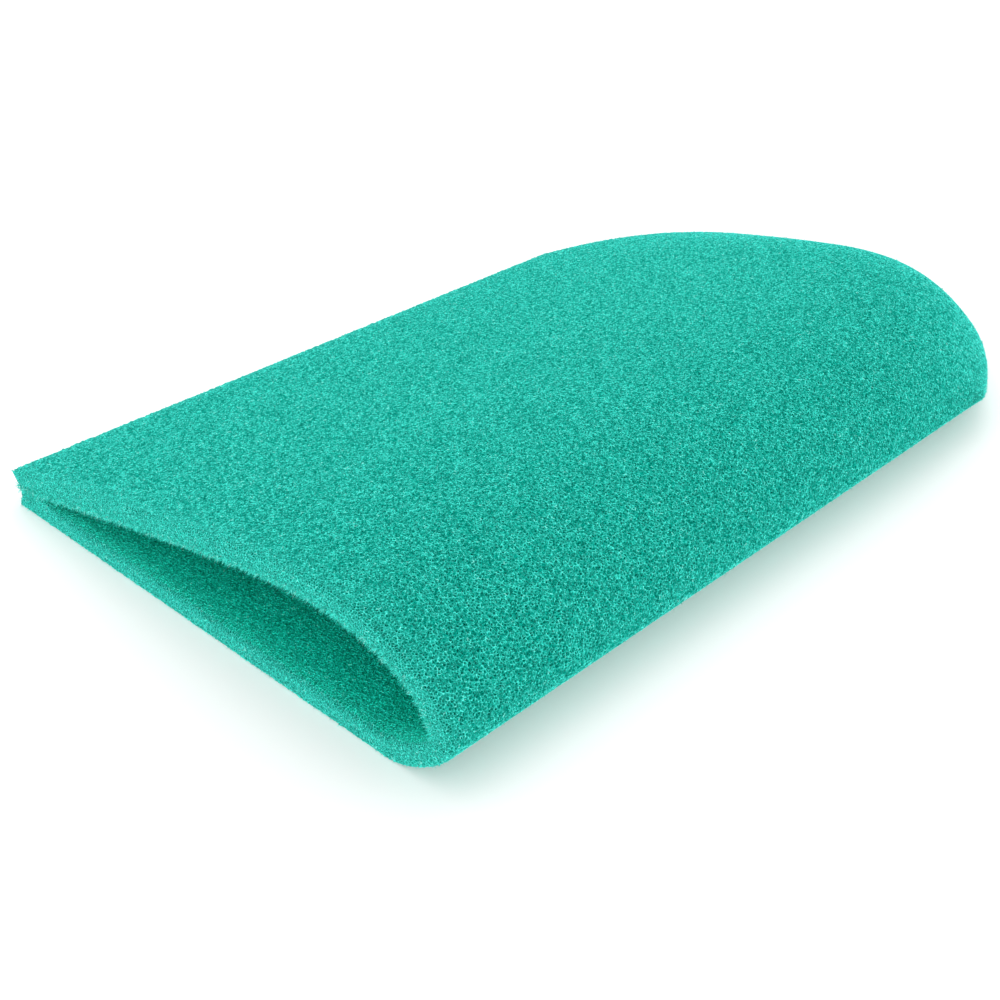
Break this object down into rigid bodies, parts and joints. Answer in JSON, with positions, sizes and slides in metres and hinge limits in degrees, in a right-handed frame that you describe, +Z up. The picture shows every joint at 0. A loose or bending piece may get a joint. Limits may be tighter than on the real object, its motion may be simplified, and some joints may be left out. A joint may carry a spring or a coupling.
{
  "type": "foam filter sleeve",
  "caption": "Flat pouch of open-cell filter foam, folded along one side and bonded along the other and round the closed end, that slips over a pump or pond-vacuum filter cage.",
  "frame": {"origin": "middle of the footprint's bounding box, on the surface the sleeve lies on", "axes": "+X from the bonded side seam towards the folded side, +Y from the open mouth towards the closed round end, +Z up"},
  "size_m": [0.172, 0.289, 0.036],
  "materials": {
    "filter_foam": "open-cell reticulated polyurethane foam, about 25 pores per inch, teal green",
    "seam_bond": "melted foam and hot-melt film, slightly shiny"
  },
  "bodies": {
    "root": {"upper_panel": "filter_foam", "lower_panel": "filter_foam", "folded_side": "filter_foam", "side_seam_bond": "seam_bond", "end_seam_bond": "seam_bond"}
  },
  "joints": []
}
